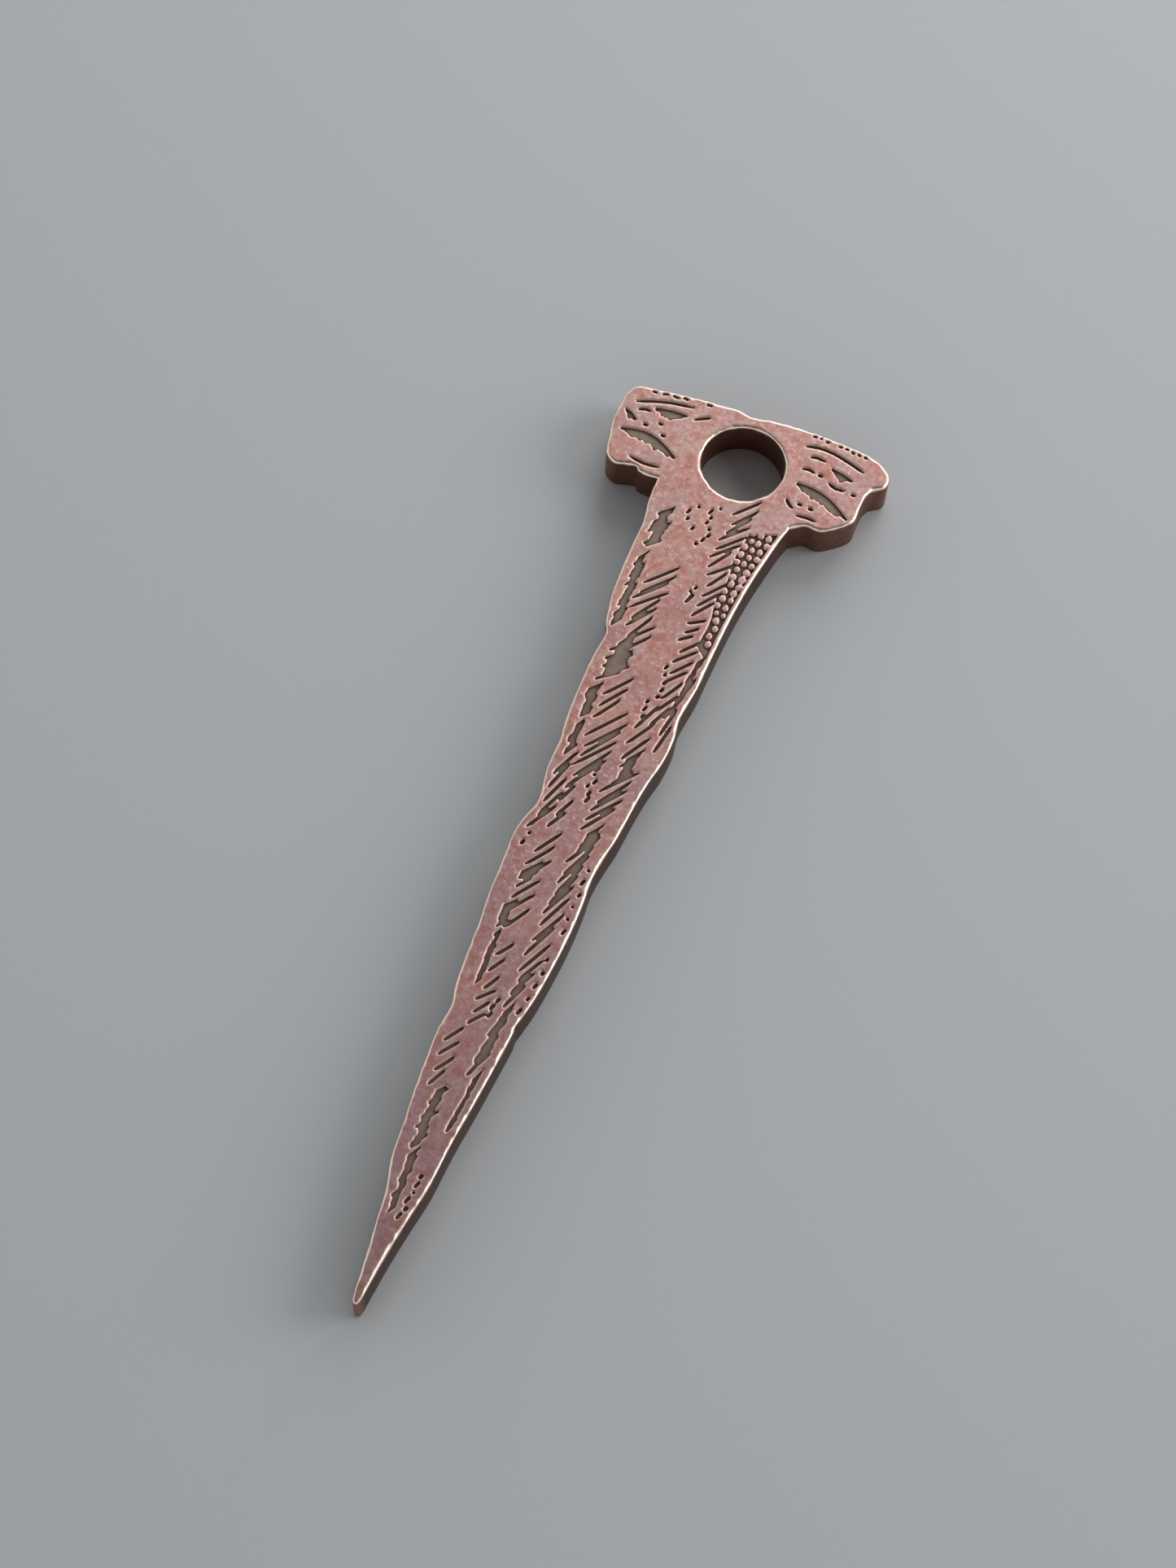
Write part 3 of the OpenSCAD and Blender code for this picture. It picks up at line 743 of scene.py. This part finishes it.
def tumbled_copper(finish):
    """Satin copper, mottled pink, mauve, ash and rust, bright on worn rims and lips, with painted highlight
    on the lips, and dark red on walls and dark in the engraving, with painted shade.

    Masks follow the way down in millimetres, and the mottling comes from noise with so many lumps to the
    millimetre. wear, cut, lip and wall are values at the mesh's vertices.
    """
    material, tree = new_material("tumbled_copper")
    place = place_in_mm(tree)
    wear, cut, lip, wall = (value_of(tree, name) for name in ("wear", "cut", "lip", "wall"))
    broad = grain(tree, place, 0.16, 3)
    patches = grain(tree, place, 0.5, 4)
    blotches = grain(tree, place, 0.9, 4, 0.65)
    mottle = grain(tree, place, 2.2, 4)
    speckle = grain(tree, place, 5.0, 4, 0.7)
    dust = grain(tree, place, 14.0, 2)

    down = way_down(tree, place)
    shank, low, tip = down.rise(4, 12), down.rise(50, 80), down.rise(104, 106)
    bloom = (broad + 0.35 * down.rise(10, 85)).rise(0.45, 0.85)
    metal = bloom.between(finish.pink, finish.mauve)
    metal = (0.8 * blotches.rise(0.48, 0.62)).between(metal, finish.rust)
    metal = (0.55 * (patches - 0.1 * down.rise(5, 30)).rise(0.42, 0.58)).between(metal, finish.ash)
    metal = (mottle.rise(0.54, 0.7) * (0.65 - 0.3 * low)).between(metal, finish.fleck)
    metal = (0.6 * (1 - mottle).rise(0.5, 0.66)).between(metal, finish.rust)
    metal = (0.8 * speckle.rise(0.6, 0.7)).between(metal, finish.fleck)
    metal = (0.35 * dust.rise(0.45, 0.7)).between(metal, finish.rust)
    # Worn metal and painted highlight: the face beside the engraving lightens towards the worn colour
    metal = (0.3 * lip.rise(0.05, 0.3) + 0.45 * lip.rise(0.35, 0.6)).between(metal, finish.worn)
    worn = wear * (0.3 + 0.55 * speckle + 0.6 * mottle)
    metal = worn.between(metal, finish.worn)
    stretched = tree.node("ShaderNodeVectorMath", {"operation": "MULTIPLY"}, {0: place, 1: (1.0, 1.0, 0.6)})
    streak = grain(tree, stretched, 2.2, 4)
    # Painted shade: the shank's walls keep far less bare copper than the head's, so they stay dark
    wall_bareness_with_painted_shade = (0.34 + 0.2 * streak.rise(0.4, 0.75)) * (1 - 0.9 * shank)
    walls = wall_bareness_with_painted_shade.between(finish.wall, finish.bare)
    walls = tip.between(walls, finish.bare)
    metal = wall.between(metal, walls)
    # Painted shade over dark oxide: deep in the engraving the copper's walls darken, less so on the lower
    # shank
    metal = (cut.rise(0.25, 0.7) * (1 - 0.3 * low)).between(metal, finish.dark_oxide_and_shade)

    relief = 0.6 * speckle + 0.4 * dust + 0.8 * mottle
    bump = tree.node("ShaderNodeBump", None, {
        "Height": relief, "Strength": 0.35, "Distance": 0.04 * MM,
    })
    close_material(tree, {
        "Base Color": metal,
        "Metallic": 0.92 - 0.5 * cut - 0.05 * wall,
        "Roughness": 0.36 + 0.22 * mottle + 0.3 * cut - 0.14 * wear,
        "Normal": bump,
    })
    return material


def dark_patina(finish):
    """Matte grey-brown oxide, mottled, darker in drifts and towards the point, and darker along its edges
    as oxide and painted shade.
    """
    material, tree = new_material("dark_patina")
    place = place_in_mm(tree)
    edge = value_of(tree, "edge")
    drifts = grain(tree, place, 0.5, 5, 0.65)
    crust = grain(tree, place, 4.5, 5, 0.7)
    down = way_down(tree, place)
    darkened = 0.3 * drifts.rise(0.4, 0.65) + 0.2 * crust.rise(0.45, 0.7) + 0.3 * down.rise(0, 60)
    oxide = darkened.between(finish.oxide, finish.dark_oxide_and_shade)
    # Painted shade and darker oxide along the engraving's borders, less on the lower shank
    oxide = (edge * (1 - 0.4 * down.rise(50, 80))).between(oxide, finish.dark_oxide_and_shade)
    bump = tree.node("ShaderNodeBump", None, {"Height": crust, "Strength": 0.5, "Distance": 0.05 * MM})
    close_material(tree, {
        "Base Color": oxide,
        "Metallic": 0.25,
        "Roughness": 0.62 + 0.2 * crust,
        "Normal": bump,
    })
    return material


def plain_floor(stage):
    """Matte pale grey."""
    material, tree = new_material("plain_floor")
    close_material(tree, {"Base Color": colour(stage.floor_colour), "Roughness": 0.75})
    return material


# Operators


class SPIKE_OT_plate(Operator):
    """Builds the tumbled copper skin over the plate"""

    bl_idname = "spike.plate"
    bl_label = "Copper plate"

    def execute(self, context):
        piece = add_mesh_piece("spike_plate", *plate_skin(context.scene.spike_plate))
        piece.data.materials.append(tumbled_copper(context.scene.spike_finish))
        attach(piece, BODY)
        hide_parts(PLATE_NODE)
        return {"FINISHED"}


class SPIKE_OT_patina(Operator):
    """Lays the matte oxide on the floors of the engraving"""

    bl_idname = "spike.patina"
    bl_label = "Engraving patina"

    def execute(self, context):
        piece = add_mesh_piece("spike_patina", *patina_skin(context.scene.spike_plate))
        piece.data.materials.append(dark_patina(context.scene.spike_finish))
        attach(piece, BODY)
        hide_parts(PATINA_NODE)
        return {"FINISHED"}


class SPIKE_OT_stage(Operator):
    """Sets the plain floor, the soft light and the camera"""

    bl_idname = "spike.stage"
    bl_label = "Stage"

    def execute(self, context):
        scene, stage = context.scene, context.scene.spike_stage
        scene.view_settings.view_transform = "Standard"
        self.add_floor(scene, stage)
        self.add_light(scene, stage)
        self.add_camera(scene, stage)
        return {"FINISHED"}

    def add_floor(self, scene, stage):
        """A wide square, just under the back face."""
        reach, level = 30.0, -0.02 * MM
        square = [(x * reach, y * reach, level) for x, y in ((-1, -1), (1, -1), (1, 1), (-1, 1))]
        mesh = bpy.data.meshes.new("floor")
        mesh.from_pydata(square, [], [(0, 1, 2, 3)])
        floor = bpy.data.objects.new("floor", mesh)
        floor.data.materials.append(plain_floor(stage))
        scene.collection.objects.link(floor)

    def add_light(self, scene, stage):
        """A sky that dims overhead, and large soft lights to the right, beyond the head and above it.

        Each light has its power, its diameter and its place in metres, and faces the camera's aim.
        """
        scene.world = bpy.data.worlds.new("soft_sky")
        scene.world.use_nodes = True
        tree = Field(scene.world.node_tree)
        tree.tree.nodes.clear()
        way = tree.node("ShaderNodeTexCoord")
        height = tree.node("ShaderNodeSeparateXYZ", None, {"Vector": way}, output=2)
        sky = height.rise(0.3, 0.8).between(stage.sky_low, stage.sky_high)
        tree.node("ShaderNodeOutputWorld", None, {
            "Surface": tree.node("ShaderNodeBackground", None, {"Color": sky}),
        })
        for name, power, size, place in (
            ("key", stage.key_power, 0.5, (0.60, 0.28, 0.33)),
            ("far", stage.far_power, 0.6, (0.02, 0.68, 0.36)),
            ("top", stage.top_power, 0.4, (-0.08, 0.18, 0.50)),
        ):
            lamp = bpy.data.lights.new(name, "AREA")
            lamp.shape = "DISK"
            lamp.size = size
            lamp.energy = power
            light = bpy.data.objects.new(name, lamp)
            light.location = place
            light.rotation_euler = (Vector(stage.aim) - light.location).to_track_quat("-Z", "Y").to_euler()
            scene.collection.objects.link(light)

    def add_camera(self, scene, stage):
        """The camera stands off its aim along the azimuth and the elevation, and is then rolled."""
        flat, rise = math.cos(stage.elevation), math.sin(stage.elevation)
        back = Vector((math.sin(stage.azimuth) * flat, -math.cos(stage.azimuth) * flat, rise))
        right = Vector((math.cos(stage.azimuth), math.sin(stage.azimuth), 0))
        up = back.cross(right)
        turned = right * math.cos(stage.roll) + up * math.sin(stage.roll)
        lens = bpy.data.cameras.new("camera")
        lens.lens = stage.lens
        lens.clip_start = 0.01
        camera = bpy.data.objects.new("camera", lens)
        place = Matrix((turned, back.cross(turned), back)).transposed().to_4x4()
        place.translation = Vector(stage.aim) + back * stage.distance
        camera.matrix_world = place
        scene.collection.objects.link(camera)
        scene.camera = camera


class SPIKE_PT_panel(Panel):
    """Lists the steps that dress the plate"""

    bl_idname = "SPIKE_PT_panel"
    bl_label = "Rail Spike"
    bl_space_type = "VIEW_3D"
    bl_region_type = "UI"
    bl_category = "Rail Spike"

    def draw(self, context):
        for step in OPERATORS:
            self.layout.operator(step.bl_idname)
        for name in GROUPS:
            group = getattr(context.scene, name)
            for prop in group.__annotations__:
                self.layout.prop(group, prop)


OPERATORS = (SPIKE_OT_stage, SPIKE_OT_plate, SPIKE_OT_patina)
GROUPS = {
    "spike_plate": SpikePlateSettings,
    "spike_finish": SpikeFinishSettings,
    "spike_stage": SpikeStageSettings,
}


def register():
    """Registers the classes and hangs the settings on the scene."""
    for item in (*GROUPS.values(), *OPERATORS, SPIKE_PT_panel):
        bpy.utils.register_class(item)
    for name, group in GROUPS.items():
        setattr(bpy.types.Scene, name, PointerProperty(type=group))


def unregister():
    """Takes the settings off the scene and unregisters the classes."""
    for name in GROUPS:
        delattr(bpy.types.Scene, name)
    for item in (SPIKE_PT_panel, *OPERATORS, *GROUPS.values()):
        bpy.utils.unregister_class(item)


def main():
    register()
    bpy.ops.spike.stage()
    bpy.ops.spike.plate()
    bpy.ops.spike.patina()


if __name__ == "__main__":
    main()
